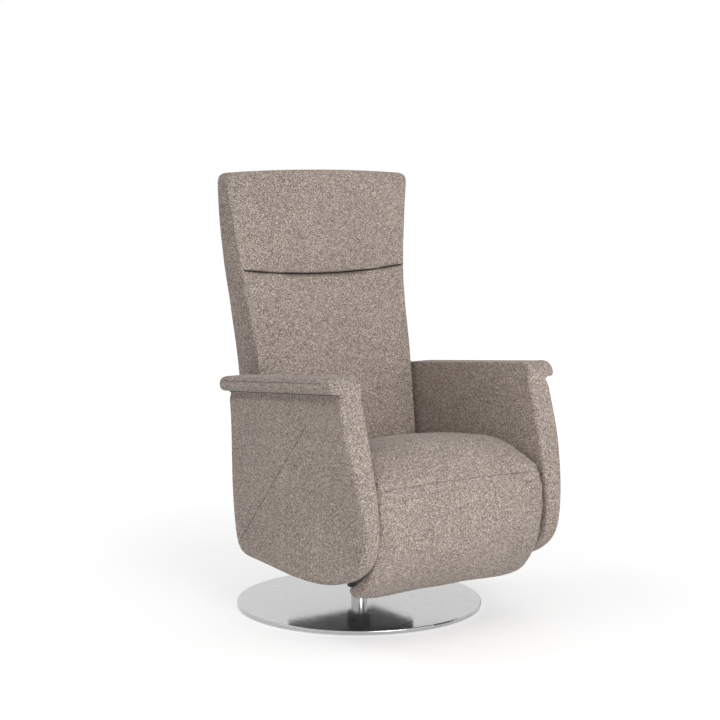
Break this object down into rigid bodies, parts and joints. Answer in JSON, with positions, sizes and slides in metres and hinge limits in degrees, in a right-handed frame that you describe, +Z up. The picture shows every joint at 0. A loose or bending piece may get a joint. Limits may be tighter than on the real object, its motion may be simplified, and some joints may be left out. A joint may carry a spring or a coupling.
{
  "type": "lift chair",
  "caption": "Upholstered swivel relax chair on a round polished plate, with stand-up lift, reclining back, tilting head section and rising leg rest.",
  "frame": {"origin": "middle of the base underside on the floor, on the swivel axis", "axes": "+Z up along the swivel axis, -Y to the front of the chair, +X to the sitter's left"},
  "size_m": [0.672, 0.762, 1.112],
  "materials": {
    "fabric": "matte",
    "polished_steel": "polished",
    "bare_steel": "satin",
    "black_steel": "satin",
    "plywood": "matte",
    "black_plastic": "matte",
    "pale_plastic": "satin",
    "key_plastic": "satin",
    "black_rubber": "matte",
    "webbing": "matte"
  },
  "bodies": {
    "base": {"floor_pad": "black_rubber", "base_plate": "polished_steel", "base_bolt": "bare_steel", "column_sleeve": "polished_steel", "spindle": "bare_steel", "spindle_washers": "bare_steel", "spindle_nut": "bare_steel"},
    "carriage": {"carriage_box": "black_steel", "hub_tube": "black_steel", "hub_bushes": "pale_plastic", "carriage_lugs": "black_steel", "carriage_pins": "bare_steel", "stop_pads": "black_rubber"},
    "lift_drive": {"lift_motor": "black_plastic"},
    "lift_ram": {"lift_rod": "bare_steel"},
    "seat": {"seat_rails": "black_steel", "cross_tubes": "black_steel", "lift_hangers": "black_steel", "rear_struts": "black_steel", "seat_webbing": "webbing", "arm_spacers": "plywood", "arm_bolts": "bare_steel", "back_brackets": "black_steel", "frame_pins": "bare_steel", "legrest_brackets": "black_steel", "rear_panel": "fabric", "charge_inlet": "black_plastic", "control_box": "black_plastic", "battery_pack": "black_plastic", "seat_cushion": "fabric", "left_arm_panel": "fabric", "right_arm_panel": "fabric", "left_arm_cap": "fabric", "right_arm_cap": "fabric", "switch_panel": "black_plastic", "back_motor": "black_plastic", "legrest_motor": "black_plastic"},
    "back_ram": {"back_rod": "bare_steel", "back_fork_pin": "bare_steel"},
    "legrest_ram": {"legrest_rod": "bare_steel", "push_head": "pale_plastic"},
    "backrest": {"back_uprights": "black_steel", "back_bars": "plywood", "back_hinge_plates": "black_steel", "back_lever": "black_steel", "head_brackets": "black_steel", "head_pins": "bare_steel", "back_cushion": "fabric", "back_shell": "fabric"},
    "headrest": {"head_board": "plywood", "head_arms": "black_steel", "head_cushion": "fabric", "head_shell": "fabric"},
    "legrest": {"legrest_board": "plywood", "legrest_plates": "black_steel", "legrest_pad": "fabric"},
    "back_key": {"back_rocker": "key_plastic"},
    "legrest_key": {"legrest_rocker": "key_plastic"},
    "lift_key": {"lift_rocker": "key_plastic"}
  },
  "joints": [
    {"name": "swivel", "type": "hinge", "parent": "base", "child": "carriage", "pos_m": [0, 0, 0.046], "axis": [0, 0, 1], "continuous": true},
    {"name": "stand_up_lift", "type": "hinge", "parent": "carriage", "child": "seat", "pos_m": [0, -0.15, 0.12], "axis": [1, 0, 0], "range_deg": [0, 24]},
    {"name": "lift_drive_swing", "type": "hinge", "parent": "carriage", "child": "lift_drive", "pos_m": [-0.06, 0.1, 0.105], "axis": [1, 0, 0], "range_deg": [0, 8]},
    {"name": "lift_ram_slide", "type": "slide", "parent": "lift_drive", "child": "lift_ram", "axis": [0, -0.4746, 0.8802], "range_m": [0, 0.0865]},
    {"name": "back_recline", "type": "hinge", "parent": "seat", "child": "backrest", "pos_m": [0, 0.088, 0.325], "axis": [-1, 0, 0], "range_deg": [0, 40]},
    {"name": "back_ram_slide", "type": "slide", "parent": "seat", "child": "back_ram", "axis": [0, -1, 0], "range_m": [0, 0.0505]},
    {"name": "head_tilt", "type": "hinge", "parent": "backrest", "child": "headrest", "pos_m": [0, 0.17, 0.873], "axis": [1, 0, 0], "range_deg": [0, 30]},
    {"name": "legrest_rise", "type": "hinge", "parent": "seat", "child": "legrest", "pos_m": [0, -0.412, 0.3735], "axis": [-1, 0, 0], "range_deg": [0, 85]},
    {"name": "legrest_ram_slide", "type": "slide", "parent": "seat", "child": "legrest_ram", "axis": [0, -0.866, 0.5], "range_m": [0, 0.1265]},
    {"name": "back_key_rock", "type": "hinge", "parent": "seat", "child": "back_key", "pos_m": [-0.248, -0.31, 0.54], "axis": [0, 0, 1], "range_deg": [-5, 5], "stiffness_Nm_per_rad": 0.2},
    {"name": "legrest_key_rock", "type": "hinge", "parent": "seat", "child": "legrest_key", "pos_m": [-0.248, -0.27, 0.54], "axis": [0, 0, 1], "range_deg": [-5, 5], "stiffness_Nm_per_rad": 0.2},
    {"name": "lift_key_rock", "type": "hinge", "parent": "seat", "child": "lift_key", "pos_m": [-0.248, -0.23, 0.54], "axis": [0, 0, 1], "range_deg": [-5, 5], "stiffness_Nm_per_rad": 0.2}
  ],
  "couplings": [
    {"joint": "lift_drive_swing", "follows": "stand_up_lift", "ratio": 0.318},
    {"joint": "lift_ram_slide", "follows": "stand_up_lift", "m_per_rad": 0.2058},
    {"joint": "back_ram_slide", "follows": "back_recline", "m_per_rad": 0.07191},
    {"joint": "legrest_ram_slide", "follows": "legrest_rise", "m_per_rad": 0.085084}
  ]
}
